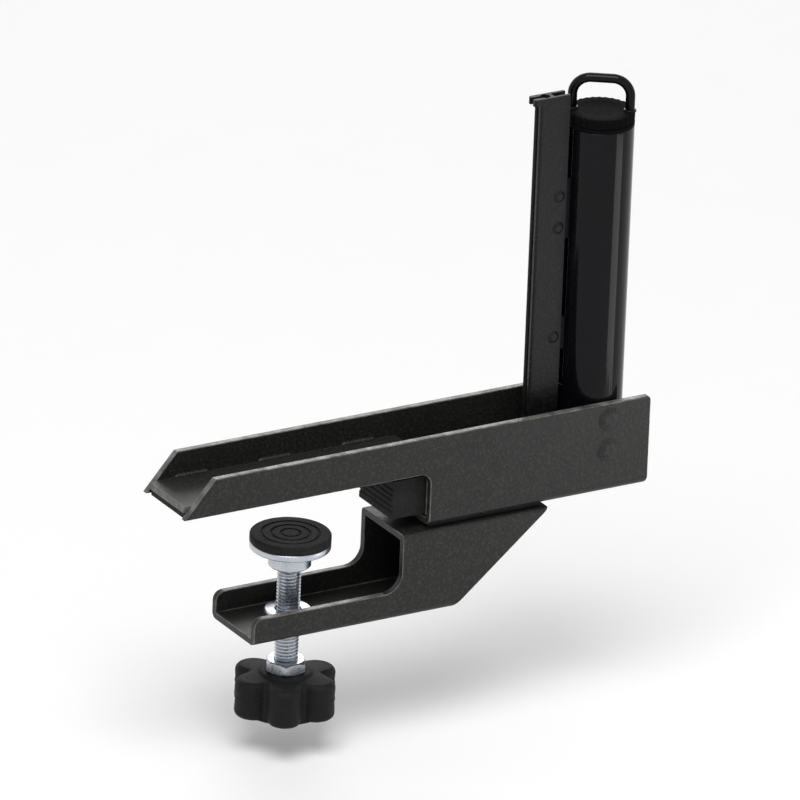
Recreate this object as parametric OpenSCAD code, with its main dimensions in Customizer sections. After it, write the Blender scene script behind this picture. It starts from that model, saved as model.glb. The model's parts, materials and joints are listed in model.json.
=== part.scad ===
// Table tennis net clamp with a round post, a sliding net rail and a screw clamp.
// Origin: where the clamp screw's axis meets the face that rests on the table top.
// +X points outwards, away from the table. +Z is up. The net hangs in the plane y = 0.

/* [Table jaw] */
// Thickness of the table top that is gripped as drawn
table_t = 22; // [16:1:30]
// Thinnest table top that can be gripped
table_min = 10; // [8:1:14]
// Thickest table top that can be gripped
table_max = 36; // [32:1:44]
// Foot of the arm's slanted tip, measured from the screw axis
jaw_reach = 61; // [54:1:70]
// How far the top of that tip leans back over the table
tip_run = 14; // [8:1:18]
// Table edge, measured from the screw axis
edge_run = 40; // [32:1:48]
// Thickness of the rubber pad under the arm
jaw_pad_t = 3; // [2:0.5:4]

/* [Arm channel] */
// Thickness of the folded steel sheet
sheet_t = 3; // [2:0.5:3.5]
// Height of the walls above the table top
wall_rise = 17; // [14:1:22]
// Depth of the outer part below the table top
deep_drop = 23; // [20:1:28]
// Gap from the table edge to the deep walls
step_gap = 16; // [12:1:20]
// Outer end of the arm, measured from the table edge
arm_run = 121; // [119:1:135]
// Outside radius of the folds
fold_r = 4; // [3:0.5:5]
// Radius of the inside corner at the step
step_r = 5; // [3:0.5:8]

/* [Lower bracket] */
// Outer top corner of the bracket, measured from the post axis
corner_gap = 27; // [24:1:31]
// Sideways run of the slanted end for each millimetre of drop
bracket_slant = 1.2; // [0.9:0.02:1.3]
// Gap from the table edge to the bracket's spine
spine_gap = 4; // [2:0.5:8]
// Inner end of the bracket, measured from the screw axis
bracket_reach = 26; // [22:1:32]
// Height of the bracket's side walls beside the screw
lip_h = 12; // [8:1:14]
// Thickness of the plate between arm and bracket
spacer_t = 2; // [1:0.5:3]

/* [Clamp screw] */
// Diameter of the clamp screw
screw_d = 10; // [8:0.5:12]
// Diameter of the pressure disc and its pad
foot_d = 34; // [30:1:38]
// Thickness of the pressure disc
disc_t = 3; // [2:0.5:4]
// Thickness of the rubber pad on the disc
foot_pad_t = 3.5; // [2.5:0.5:5]
// Height of the disc's hub
hub_h = 8; // [7:0.5:10]
// Diameter across the knob's lobes
knob_d = 46; // [42:1:52]
// Height of the knob
knob_h = 18; // [15:1:24]
// Diameter of each lobe on the knob
lobe_d = 14; // [10:1:16]
// Number of lobes on the knob
knob_lobes = 6; // [5:1:8]

/* [Post] */
// Height of the net above the table top
net_h = 152.5; // [148:0.5:156]
// Post axis, measured from the table edge
post_run = 101; // [99:1:103]
// Outside diameter of the post tube
tube_d = 28.6; // [27:0.2:31]
// Wall of the post tube
tube_wall = 2; // [1.5:0.25:2.5]
// Height of the post's top flange above the table top
post_top = 138; // [136:1:140]
// Diameter of the rivets through the post's foot
rivet_d = 6; // [4:0.5:6.5]

/* [Net rail] */
// Width of the rail along the net
rail_w = 13.9; // [13:0.1:16]
// Thickness of the rail across the net
rail_t = 6; // [5.5:0.25:7]
// Thickness of the lip at the rail's top
rail_lip_t = 3; // [2:0.5:4]
// How far that lip reaches over the net's hem
rail_lip = 3; // [2:0.5:4]
// Diameter of the groove that holds the net's edge cord
groove_d = 4; // [3.5:0.1:4.5]
// Mouth of that groove
groove_mouth = 1.8; // [1.4:0.1:2.2]
// Thickness of the tongues that reach into the rail
tongue_t = 3; // [2.4:0.1:3.2]
// How far the rail can be raised
lift_up = 8; // [4:1:10]
// How far the rail can be lowered
lift_down = 10; // [4:1:10]

/* [Height key] */
// Diameter of the adjusting screw
adjust_d = 6; // [5:0.5:7]
// Thickness of the round rod that forms the loop
loop_rod = 4; // [3:0.25:4.5]
// Height of the loop above the key's cap
loop_h = 15.7; // [15:0.1:20]
// Radius of the loop's upper corners, along the rod's axis
loop_bend = 7.5; // [6:0.25:10]
// Thickness of the key's cap
cap_h = 4; // [3.5:0.5:6]
// Way the loop faces as drawn
key_angle = -34; // [-80:1:80]

/* [Fits] */
// Radial clearance of turning and sliding fits
run_gap = 0.05; // [0.03:0.01:0.09]
// Clearance between pieces that pass each other
free_gap = 0.3; // [0.2:0.05:0.4]
// Gap between the post and each wall of the arm
post_gap = 0.2; // [0.1:0.05:0.4]
// Clearance of pieces that are pressed or bolted together
seat_gap = 0.02; // [0.01:0.01:0.04]

/* [Hidden] */
$fn = 64;
cut = 1;                                    // how far a cutting shape runs past a face
weld = 0.5;                                 // how far the shapes of one piece run into each other

charcoal = [0.25, 0.25, 0.25];
satin_black = [0.18, 0.18, 0.19];
gloss_black = [0.08, 0.08, 0.09];
rubber_black = [0.12, 0.12, 0.12];
zinc = [0.72, 0.73, 0.74];
steel = [0.55, 0.56, 0.58];
brass = [0.78, 0.63, 0.35];
nylon = [0.16, 0.16, 0.17];

// Arm
inner_w = tube_d + 2 * post_gap;            // the post just fits between the walls
arm_w = inner_w + 2 * sheet_t;
wall_lift = 0.8;                            // the walls stop this far above the table
plate_inset = 1;                            // jaw plate behind the foot of the tip
pad_inset = 2;                              // jaw pad inside the jaw's ends
pad_margin = 5;                             // first groove of the jaw pad, from its end
pad_pitch = 7;
groove_w = 1;                               // side of the square that cuts a groove
tip_r = 4;                                  // rounded corner at the bracket's inner end
end_r = 2;                                  // rounded corners at the outer end
x_step = edge_run + step_gap;
x_post = edge_run + post_run;
x_end = edge_run + arm_run;
z_floor = sheet_t - deep_drop;              // top of the arm's floor
plate_z = jaw_pad_t;                        // underside of the jaw plate

// Bumper on the step
bumper_h = 17;
bumper_z = -10;
bumper_side = 1;                            // left beside the bumper
bumper_pitch = 2.5;                         // of the grooves in its face
bumper_grooves = 5;
stem_r = 4;
stem_head_r = 5.2;
stem_head_t = 2.5;

// Bracket
foot_stack = foot_pad_t + disc_t + hub_h;
foot_room = 5.5;                            // left under the hub at the thickest table
bush_head_t = 3;
bush_wall = 2.5;
bush_flange = 2.5;
bush_body_r = screw_d / 2 + bush_wall;
bush_head_r = bush_body_r + bush_flange;
bush_tail = 3;                              // bush below the bracket's floor
z_bracket = -deep_drop - spacer_t;
z_lower = -(table_max + foot_stack + foot_room + bush_head_t + sheet_t);
x_spine = edge_run + spine_gap;
x_corner = x_post - corner_gap;
x_heel = x_corner - bracket_slant * (z_bracket - z_lower);
spine_r = 8;
bracket_r = 3;
spacer_inset = 2;                           // spacer inside the bracket's ends
spacer_side = 1;                            // spacer inside the arm's floor at the sides

// Bolts between arm and bracket
bolt_d = 6;
bolt_head_r = 5.5;
bolt_head_h = 4;
washer_t = 1.2;
washer_r = 6;
nut_af = 10;
nut_h = 5;
bolt_tail = 2;
step_inset = 11.5;                          // inner bolt, from the step
corner_inset = 26;                          // outer bolt, from the bracket's corner
bolt_xs = [x_step + step_inset, x_corner - corner_inset];
z_washer = z_bracket - sheet_t - washer_t;
z_nut = z_washer - nut_h;

// Pressure foot and clamp screw
z_foot = -table_t;
z_disc = z_foot - foot_pad_t;
z_hub = z_disc - disc_t;
z_hub_end = z_hub - hub_h;
hub_wall = 4;
hub_r = screw_d / 2 + hub_wall;
socket_roof = 1;                            // steel left over the socket
tip_relief = 0.35;                          // head at the tip inside the thread
neck_cut = 1.1;
retainer_rim = 1.35;
tip_head_r = screw_d / 2 - tip_relief;
tip_head_h = 3.4;
neck_r = tip_head_r - neck_cut;
retainer_r = tip_head_r + retainer_rim;
z_tip = z_hub - socket_roof - free_gap;
z_neck = z_tip - tip_head_h;
z_retainer = z_neck - free_gap;
z_shoulder = z_hub_end - free_gap;
ring_pitch = 4;                             // grooves in the pressure pad
ring_margin = 3;
ring_r = 0.6;
jam_t = 5;
jam_wall = 3;
jam_af = screw_d + 2 * jam_wall;
knob_stop = 1.5;                            // left between bush and nut at the thinnest table
z_jam = z_lower - bush_tail - (table_t - table_min) - knob_stop;
z_knob = z_jam - jam_t;
z_knob_end = z_knob - knob_h;
knob_round = 3;
cap_recess = 2;
knob_cap_r = 9;
cap_sink = 0.2;                             // cap inside the knob's face
screw_seat = 3;                             // knob left below the end of the screw

// Post
tube_r = tube_d / 2;
bore_r = tube_r - tube_wall;
flange_t = 1.5;
bush_depth = 9.5;
z_tube = post_top - flange_t;
z_tube_foot = z_floor + fold_r - sheet_t;   // clear of the inside of the arm's folds
z_bush_end = z_tube - bush_depth;
z_foot_plug = 24;
slot_w = tongue_t + 2 * free_gap;
slot_sink = 2;                              // slot below the top of the foot plug
z_slot = z_foot_plug - slot_sink;
rivet_zs = [-4, 10];
rivet_rim = 2.2;
rivet_head_r = rivet_d / 2 + rivet_rim;
rivet_head_h = 1.6;
pilot_depth = 9;
post_screw_d = 6;
post_screw_grip = 10;
post_screw_room = 0.5;                      // drilled past the end of the screw
post_head_r = 5;
post_head_h = 3.5;
post_socket_af = 4;
post_socket_depth = 2;

// Rail and the two sliders in the post
rail_gap = 2.3;                             // between rail and post
x_rail = x_post - tube_r - rail_gap;        // outer edge of the rail
groove_inset = 3.4;                         // groove's axis from the rail's inner edge
x_groove = x_rail - rail_w + groove_inset;
tongue_in = 7;                              // tongue inside the rail
z_rail = 10;
slider_r = bore_r - free_gap;
nut_len = 26;
shoe_len = 14;
slider_room = 4;                            // left at both ends of the travel
shoe_z = z_foot_plug + lift_down + slider_room;
rail_rivet_d = 3;
rail_rivet_rim = 1.2;
rail_rivet_head = 0.9;
rail_rivet_inset = 6;                       // from the ends of the height nut
rail_corner = 1;
stop_t = 1.5;
stop_tab = 8;                               // reaches up into the rail's rear slot

// Key
z_cap = post_top + free_gap;
z_cap_top = z_cap + cap_h;
cap_skin = 1;                               // cap left above the screw
loop_seat = 2.8;                            // leg inside the cap
loop_r = tube_r - free_gap - loop_rod / 2;
z_loop = z_cap_top + loop_h - loop_rod / 2; // axis of the loop's straight top
z_arch = z_loop - loop_bend;
flutes = 30;
flute_r = 0.9;
clip_t = 1;
clip_rim = 2.5;
clip_cut = 0.7;
clip_r = adjust_d / 2 + clip_rim;
clip_groove_r = adjust_d / 2 - clip_cut;
z_clip = z_bush_end - free_gap - clip_t;
nut_z = z_clip - slider_room - lift_up - nut_len;
rail_rivet_zs = [shoe_z + shoe_len / 2, nut_z + rail_rivet_inset, nut_z + nut_len - rail_rivet_inset];
key_pin_r = 0.8;
key_pin_inset = 1;                          // pin's ends inside the cap
cap_edge = 1;

// Cord hook
hook_w = 10;
hook_t = 2;
hook_base = 13;
hook_gap = 0.5;                             // from the hook to the rail
hook_x = x_rail - rail_w - hook_base - hook_gap;
hook_h = 24;

// What a square corner at the origin loses when it is rounded
module corner(r) {
    difference() {
        translate([-cut, -cut]) square(r + cut);
        translate([r, r]) circle(r);
    }
}

// The web left in an inside corner at the origin
module fillet(r) {
    difference() {
        square(r);
        translate([r, r]) circle(r);
    }
}

// Extrudes an outline drawn in x and z, centred on y = 0
module side(width) {
    rotate([90, 0, 0]) linear_extrude(width, center = true) children();
}

// Extrudes an outline drawn in y and z along x
module along_x(x0, x1) {
    translate([x0, 0, 0]) rotate([90, 0, 90]) linear_extrude(x1 - x0) children();
}

// A bar with rounded lower edges, drawn in y and z
module trough(width, z_low, z_high, r) {
    difference() {
        translate([-width / 2, z_low]) square([width, z_high - z_low]);
        for (s = [-1, 1]) translate([s * width / 2, z_low]) mirror([s > 0 ? 1 : 0, 0]) corner(r);
    }
}

// A cylinder along z from z0 to z1
module rod(r, z0, z1) {
    translate([0, 0, z0]) cylinder(r = r, h = z1 - z0);
}

// A cylinder along y, centred
module cross(r, width) {
    rotate([90, 0, 0]) cylinder(r = r, h = width, center = true);
}

// A hexagonal prism by its width across flats
module hex(af, z0, z1) {
    translate([0, 0, z0]) cylinder(r = af / sqrt(3), h = z1 - z0, $fn = 6);
}

// A low domed head on the plane z = 0
module dome(r, h) {
    ball = (r * r + h * h) / (2 * h);
    intersection() {
        translate([0, 0, h - ball]) sphere(ball, $fn = 96);
        cylinder(r = r, h = h + cut);
    }
}

// Where the arm's slanted tip stands at a height z
function tip_x(z) = -jaw_reach + tip_run * (z - wall_lift) / (wall_rise - wall_lift);

module arm_side() {
    difference() {
        translate([-jaw_reach - cut, -deep_drop])
            square([x_end + jaw_reach + cut, wall_rise + deep_drop]);
        polygon([
            [tip_x(wall_lift - cut), wall_lift - cut], [tip_x(wall_rise + cut), wall_rise + cut],
            [-jaw_reach - tip_run, wall_rise + cut], [-jaw_reach - tip_run, wall_lift - cut]
        ]);
        translate([x_end, wall_rise]) rotate(180) corner(end_r);
        translate([x_end, -deep_drop]) mirror([1, 0]) corner(end_r);
        difference() {
            translate([-jaw_reach - 2 * cut, -deep_drop - cut])
                square([x_step + jaw_reach + 2 * cut, deep_drop + cut + wall_lift]);
            translate([x_step, wall_lift]) rotate(180) fillet(step_r);
        }
    }
}

module arm_channel() {
    color(charcoal) difference() {
        intersection() {
            side(arm_w) arm_side();
            along_x(-jaw_reach - 2 * cut, x_end + cut)
                trough(arm_w, -deep_drop, wall_rise + cut, fold_r);
        }
        along_x(-jaw_reach - 2 * cut, x_end + cut)
            trough(inner_w, z_floor, wall_rise + cut, fold_r - sheet_t);
        for (x = bolt_xs) translate([x, 0, 0])
            rod(bolt_d / 2 + seat_gap, -deep_drop - cut, z_floor + cut);
        translate([x_post, 0, 0]) rod(post_screw_d / 2 + seat_gap, -deep_drop - cut, z_floor + cut);
        for (z = rivet_zs) translate([x_post, 0, z]) cross(rivet_d / 2 + seat_gap, arm_w + cut);
    }
}

module jaw_plate() {
    x0 = -jaw_reach + plate_inset;
    color(charcoal) difference() {
        side(inner_w - 2 * seat_gap) difference() {
            union() {
                translate([x0, plate_z]) square([x_step + sheet_t - x0, sheet_t]);
                translate([x_step, z_floor + fold_r - sheet_t]) square([sheet_t, plate_z - z_floor]);
            }
            translate([x_step + sheet_t, plate_z + sheet_t]) rotate(180) corner(sheet_t);
        }
        translate([x_step, 0, bumper_z]) rotate([0, 90, 0])
            cylinder(r = stem_r + run_gap, h = 3 * sheet_t, center = true);
    }
}

module jaw_pad() {
    x0 = -jaw_reach + pad_inset;
    x1 = edge_run - pad_inset;
    w = inner_w - 2 * free_gap;
    color(rubber_black) difference() {
        translate([x0, -w / 2, 0]) cube([x1 - x0, w, jaw_pad_t]);
        for (x = [x0 + pad_margin : pad_pitch : x1 - pad_margin]) translate([x, 0, 0])
            rotate([0, 45, 0]) cube([groove_w, w + cut, groove_w], center = true);
    }
}

module edge_bumper() {
    w = inner_w - 2 * bumper_side;
    middle = (bumper_grooves - 1) / 2;
    color(rubber_black) {
        difference() {
            translate([edge_run, -w / 2, bumper_z - bumper_h / 2]) cube([step_gap, w, bumper_h]);
            for (i = [-middle : middle]) translate([edge_run, 0, bumper_z + i * bumper_pitch])
                rotate([0, 45, 0]) cube([groove_w, w + cut, groove_w], center = true);
        }
        translate([x_step, 0, bumper_z]) rotate([0, 90, 0]) cylinder(r = stem_r, h = sheet_t + cut);
        translate([x_step + sheet_t + run_gap, 0, bumper_z]) rotate([0, 90, 0])
            cylinder(r1 = stem_head_r, r2 = stem_r - 1, h = stem_head_t);
    }
}

module cord_hook() {
    color(charcoal) side(hook_w) difference() {
        union() {
            translate([hook_x, z_floor]) square([hook_base, hook_t]);
            translate([hook_x, z_floor]) square([hook_t, hook_h]);
            translate([hook_x, z_floor + hook_h - hook_t]) square([hook_t * 5, hook_t]);
            translate([hook_x + hook_t * 4, z_floor + hook_h - hook_t * 3]) square([hook_t, hook_t * 3]);
        }
        translate([hook_x, z_floor + hook_h]) mirror([0, 1]) corner(hook_t);
        translate([hook_x + hook_t * 5, z_floor + hook_h]) rotate(180) corner(hook_t);
    }
}

module bracket_side() {
    z_lip = z_lower + lip_h;
    union() {
        difference() {
            polygon([
                [-bracket_reach, z_lower], [x_heel, z_lower], [x_corner, z_bracket],
                [x_spine, z_bracket], [x_spine, z_lip], [-bracket_reach, z_lip]
            ]);
            translate([-bracket_reach, z_lip]) mirror([0, 1]) corner(tip_r);
        }
        translate([x_spine, z_lip]) mirror([1, 0]) fillet(spine_r);
    }
}

module bracket_hollow() {
    z_in = z_lower + sheet_t;
    z_up = z_bracket - sheet_t;
    lean = sheet_t * sqrt(1 + bracket_slant * bracket_slant);
    x_low = x_heel + bracket_slant * sheet_t - lean;
    x_high = x_corner - bracket_slant * sheet_t - lean;
    polygon([
        [-bracket_reach - cut, z_in], [x_low, z_in], [x_high, z_up],
        [x_spine - spine_r - cut, z_up], [x_spine - spine_r - cut, z_lower + lip_h + cut],
        [-bracket_reach - cut, z_lower + lip_h + cut]
    ]);
}

module lower_bracket() {
    color(charcoal) difference() {
        intersection() {
            side(arm_w) bracket_side();
            along_x(-bracket_reach - cut, x_corner + cut) difference() {
                trough(arm_w, z_lower, z_bracket, bracket_r);
                for (s = [-1, 1]) translate([s * arm_w / 2, z_bracket])
                    mirror([s > 0 ? 1 : 0, 0]) mirror([0, 1]) corner(bracket_r - 1);
            }
        }
        side(inner_w) bracket_hollow();
        rod(bush_body_r + seat_gap, z_lower - cut, z_lower + sheet_t + cut);
        for (x = bolt_xs) translate([x, 0, 0])
            rod(bolt_d / 2 + seat_gap, z_bracket - sheet_t - cut, z_bracket + cut);
    }
}

module spacer_plate() {
    color(rubber_black) difference() {
        translate([x_step + spacer_inset, -inner_w / 2 + spacer_side, z_bracket])
            cube([x_corner - x_step - 2 * spacer_inset, inner_w - 2 * spacer_side, spacer_t]);
        for (x = bolt_xs) translate([x, 0, 0])
            rod(bolt_d / 2 + seat_gap, z_bracket - cut, z_bracket + spacer_t + cut);
    }
}

module bracket_bolts() {
    color(zinc) for (x = bolt_xs) translate([x, 0, 0]) {
        rod(bolt_d / 2, z_nut - bolt_tail, z_floor + cut);
        translate([0, 0, z_floor]) dome(bolt_head_r, bolt_head_h);
    }
}

module bracket_washers() {
    color(zinc) for (x = bolt_xs) translate([x, 0, 0]) difference() {
        rod(washer_r, z_washer, z_washer + washer_t);
        rod(bolt_d / 2 + seat_gap, z_washer - cut, z_washer + washer_t + cut);
    }
}

module bracket_nuts() {
    color(zinc) for (x = bolt_xs) translate([x, 0, 0]) difference() {
        hex(nut_af, z_nut, z_nut + nut_h);
        rod(bolt_d / 2 + seat_gap, z_nut - cut, z_nut + nut_h + cut);
    }
}

module threaded_bush() {
    z_seat = z_lower + sheet_t;
    color(zinc) difference() {
        union() {
            rod(bush_head_r, z_seat, z_seat + bush_head_t);
            rod(bush_body_r, z_lower - bush_tail, z_seat + weld);
        }
        rod(screw_d / 2 + run_gap, z_lower - bush_tail - cut, z_seat + bush_head_t + cut);
    }
}

module clamp_screw() {
    color(zinc) {
        rod(tip_head_r, z_neck, z_tip);
        rod(neck_r, z_shoulder - cut, z_neck + cut);
        rod(screw_d / 2, z_knob_end + screw_seat, z_shoulder);
    }
}

module pressure_disc() {
    color(zinc) difference() {
        union() {
            rod(foot_d / 2, z_hub, z_disc);
            rod(hub_r, z_hub_end, z_hub + weld);
        }
        rod(tip_head_r + run_gap, z_hub_end - cut, z_hub - socket_roof);
        rod(retainer_r + seat_gap, z_hub_end - cut, z_retainer);
    }
}

module pressure_pad() {
    color(rubber_black) difference() {
        rod(foot_d / 2, z_disc, z_foot);
        for (r = [ring_pitch : ring_pitch : foot_d / 2 - ring_margin]) translate([0, 0, z_foot])
            rotate_extrude() translate([r, 0]) circle(ring_r);
    }
}

module retaining_bush() {
    color(brass) difference() {
        rod(retainer_r, z_hub_end, z_retainer);
        rod(neck_r + run_gap, z_hub_end - cut, z_retainer + cut);
    }
}

module jam_nut() {
    color(zinc) difference() {
        hex(jam_af, z_knob, z_jam);
        rod(screw_d / 2 + seat_gap, z_knob - cut, z_jam + cut);
    }
}

module knob() {
    r = knob_d / 2;
    lobe_r = lobe_d / 2;
    color(nylon) difference() {
        intersection() {
            union() {
                rod(r - lobe_r, z_knob_end, z_knob);
                for (i = [0 : knob_lobes - 1]) rotate(i * 360 / knob_lobes)
                    translate([r - lobe_r, 0, 0]) rod(lobe_r, z_knob_end, z_knob);
            }
            rotate_extrude() difference() {
                translate([0, z_knob_end]) square([r, knob_h]);
                translate([r, z_knob]) rotate(180) corner(knob_round);
                translate([r, z_knob_end]) mirror([1, 0]) corner(knob_round);
            }
        }
        rod(screw_d / 2 + seat_gap, z_knob_end + screw_seat - seat_gap, z_knob + cut);
        rod(knob_cap_r + seat_gap, z_knob_end - cut, z_knob_end + cap_recess);
    }
}

module knob_cap() {
    color(gloss_black) rod(knob_cap_r, z_knob_end + cap_sink, z_knob_end + cap_recess);
}

module post_tube() {
    color(gloss_black) translate([x_post, 0, 0]) difference() {
        rod(tube_r, z_tube_foot, z_tube);
        rod(bore_r, z_tube_foot - cut, z_tube + cut);
        translate([-tube_r - cut, -slot_w / 2, z_slot])
            cube([tube_r + cut, slot_w, z_tube - z_slot + cut]);
        for (z = rivet_zs) translate([0, 0, z]) cross(rivet_d / 2 + seat_gap, tube_d + cut);
    }
}

module post_foot() {
    color(nylon) translate([x_post, 0, 0]) difference() {
        rod(bore_r - seat_gap, z_floor, z_foot_plug);
        rod(adjust_d / 2 + run_gap, z_foot_plug - pilot_depth, z_foot_plug + cut);
        rod(post_screw_d / 2 + seat_gap, z_floor - cut, z_floor + post_screw_grip + post_screw_room);
        for (z = rivet_zs) translate([0, 0, z]) cross(rivet_d / 2 + seat_gap, tube_d + cut);
    }
}

module post_rivets() {
    color(charcoal) for (z = rivet_zs) translate([x_post, 0, z]) {
        cross(rivet_d / 2, arm_w + cut);
        for (a = [90, -90]) rotate([a, 0, 0]) translate([0, 0, arm_w / 2])
            dome(rivet_head_r, rivet_head_h);
    }
}

module post_washer() {
    z1 = -deep_drop;
    color(zinc) translate([x_post, 0, 0]) difference() {
        rod(washer_r, z1 - washer_t, z1);
        rod(post_screw_d / 2 + seat_gap, z1 - washer_t - cut, z1 + cut);
    }
}

module post_screw() {
    z1 = -deep_drop - washer_t;
    color(zinc) translate([x_post, 0, 0]) difference() {
        union() {
            rod(post_screw_d / 2, z1 - cut, z_floor + post_screw_grip);
            rod(post_head_r, z1 - post_head_h, z1);
        }
        hex(post_socket_af, z1 - post_head_h - cut, z1 - post_head_h + post_socket_depth);
    }
}

module top_bush() {
    color(nylon) translate([x_post, 0, 0]) difference() {
        union() {
            rod(tube_r, z_tube, post_top);
            rod(bore_r - seat_gap, z_bush_end, z_tube + weld);
        }
        rod(adjust_d / 2 + run_gap, z_bush_end - cut, post_top + cut);
    }
}

// A slider in the post with a tongue that reaches through the slot into the rail
module slider(z0, len, hole_r, rivets) {
    x_tongue = x_rail - tongue_in + free_gap;
    translate([x_post, 0, 0]) difference() {
        union() {
            rod(slider_r, z0, z0 + len);
            translate([x_tongue - x_post, -tongue_t / 2, z0])
                cube([x_post - x_tongue, tongue_t, len]);
        }
        rod(hole_r, z0 - cut, z0 + len + cut);
        for (z = rivets) translate([x_rail - tongue_in / 2 - x_post, 0, z])
            cross(rail_rivet_d / 2 + seat_gap, tongue_t + cut);
    }
}

module height_nut() {
    color(nylon) slider(nut_z, nut_len, adjust_d / 2 + run_gap, [rail_rivet_zs[1], rail_rivet_zs[2]]);
}

module guide_shoe() {
    color(nylon) slider(shoe_z, shoe_len, adjust_d / 2 + 2 * free_gap, [rail_rivet_zs[0]]);
}

// The rail's section, with its inner side moved out by lip
module rail_profile(lip) {
    x_in = x_rail - rail_w - lip;
    difference() {
        translate([x_in, -rail_t / 2]) square([rail_w + lip, rail_t]);
        translate([x_groove, 0]) circle(groove_d / 2);
        translate([x_in - cut, -groove_mouth / 2])
            square([groove_inset + lip + cut, groove_mouth]);
        translate([x_rail - tongue_in, -tongue_t / 2 - run_gap])
            square([tongue_in + cut, tongue_t + 2 * run_gap]);
        for (s = [-1, 1]) translate([x_in, s * rail_t / 2])
            mirror([0, s > 0 ? 1 : 0]) corner(rail_corner);
    }
}

module net_rail() {
    color(satin_black) difference() {
        union() {
            translate([0, 0, z_rail]) linear_extrude(net_h - z_rail) rail_profile(0);
            translate([0, 0, net_h - rail_lip_t]) linear_extrude(rail_lip_t) rail_profile(rail_lip);
        }
        for (z = rail_rivet_zs) translate([x_rail - tongue_in / 2, 0, z])
            cross(rail_rivet_d / 2 + seat_gap, rail_t + cut);
    }
}

module rail_rivets() {
    color(satin_black) for (z = rail_rivet_zs) translate([x_rail - tongue_in / 2, 0, z]) {
        cross(rail_rivet_d / 2, rail_t + weld);
        for (a = [90, -90]) rotate([a, 0, 0]) translate([0, 0, rail_t / 2])
            dome(rail_rivet_d / 2 + rail_rivet_rim, rail_rivet_head);
    }
}

module rail_stop() {
    color(nylon) {
        translate([x_rail - rail_w, -rail_t / 2, z_rail - stop_t]) cube([rail_w, rail_t, stop_t]);
        translate([x_rail - tongue_in + free_gap, -tongue_t / 2, z_rail - weld])
            cube([tongue_in - free_gap, tongue_t, stop_tab + weld]);
    }
}

module adjusting_screw() {
    color(zinc) translate([x_post, 0, 0]) difference() {
        rod(adjust_d / 2, z_foot_plug - pilot_depth + free_gap, z_cap_top - cap_skin - seat_gap);
        difference() {
            rod(adjust_d, z_clip - seat_gap, z_clip + clip_t + seat_gap);
            rod(clip_groove_r, z_clip - cut, z_clip + clip_t + cut);
        }
        translate([0, 0, z_cap + cap_h / 2]) rotate(key_angle)
            cross(key_pin_r + seat_gap, adjust_d + cut);
    }
}

module screw_clip() {
    color(steel) translate([x_post, 0, 0]) difference() {
        rod(clip_r, z_clip, z_clip + clip_t);
        rod(clip_groove_r + seat_gap, z_clip - cut, z_clip + clip_t + cut);
        translate([0, -clip_groove_r, z_clip - cut])
            cube([clip_r + cut, 2 * clip_groove_r, clip_t + 2 * cut]);
    }
}

module key_cap() {
    color(nylon) translate([x_post, 0, 0]) rotate(key_angle) difference() {
        rotate_extrude() difference() {
            translate([0, z_cap]) square([tube_r, cap_h]);
            translate([tube_r, z_cap_top]) rotate(180) corner(cap_edge);
        }
        for (i = [0 : flutes - 1]) rotate((i + 0.5) * 360 / flutes)
            translate([tube_r + flute_r / 2, 0, 0]) rod(flute_r, z_cap - cut, z_cap_top + cut);
        rod(adjust_d / 2 + seat_gap, z_cap - cut, z_cap_top - cap_skin);
        for (s = [-1, 1]) translate([s * loop_r, 0, 0])
            rod(loop_rod / 2 + seat_gap, z_cap_top - loop_seat - seat_gap, z_cap_top + cut);
        translate([0, 0, z_cap + cap_h / 2]) cross(key_pin_r + seat_gap, tube_d + cut);
    }
}

module key_loop() {
    top_run = loop_r - loop_bend;
    color(gloss_black) translate([x_post, 0, 0]) rotate(key_angle) {
        translate([-top_run, 0, z_loop]) rotate([0, 90, 0]) cylinder(r = loop_rod / 2, h = 2 * top_run);
        for (s = [0, 1]) mirror([s, 0, 0]) {
            translate([top_run, 0, z_arch]) rotate([90, 0, 0])
                rotate_extrude(angle = 90) translate([loop_bend, 0]) circle(loop_rod / 2);
            translate([loop_r, 0, 0]) rod(loop_rod / 2, z_cap_top - loop_seat, z_arch);
        }
    }
}

module key_pin() {
    color(steel) translate([x_post, 0, z_cap + cap_h / 2]) rotate(key_angle)
        cross(key_pin_r, tube_d - 2 * key_pin_inset);
}

arm_channel();
jaw_plate();
jaw_pad();
edge_bumper();
cord_hook();
lower_bracket();
spacer_plate();
bracket_bolts();
bracket_washers();
bracket_nuts();
threaded_bush();
clamp_screw();
pressure_disc();
pressure_pad();
retaining_bush();
jam_nut();
knob();
knob_cap();
post_tube();
post_foot();
post_rivets();
post_screw();
post_washer();
top_bush();
height_nut();
guide_shoe();
net_rail();
rail_rivets();
rail_stop();
adjusting_screw();
screw_clip();
key_cap();
key_loop();
key_pin();
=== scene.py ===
import bmesh
import bpy
import json
import math
import random
from mathutils import Matrix, Vector


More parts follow.
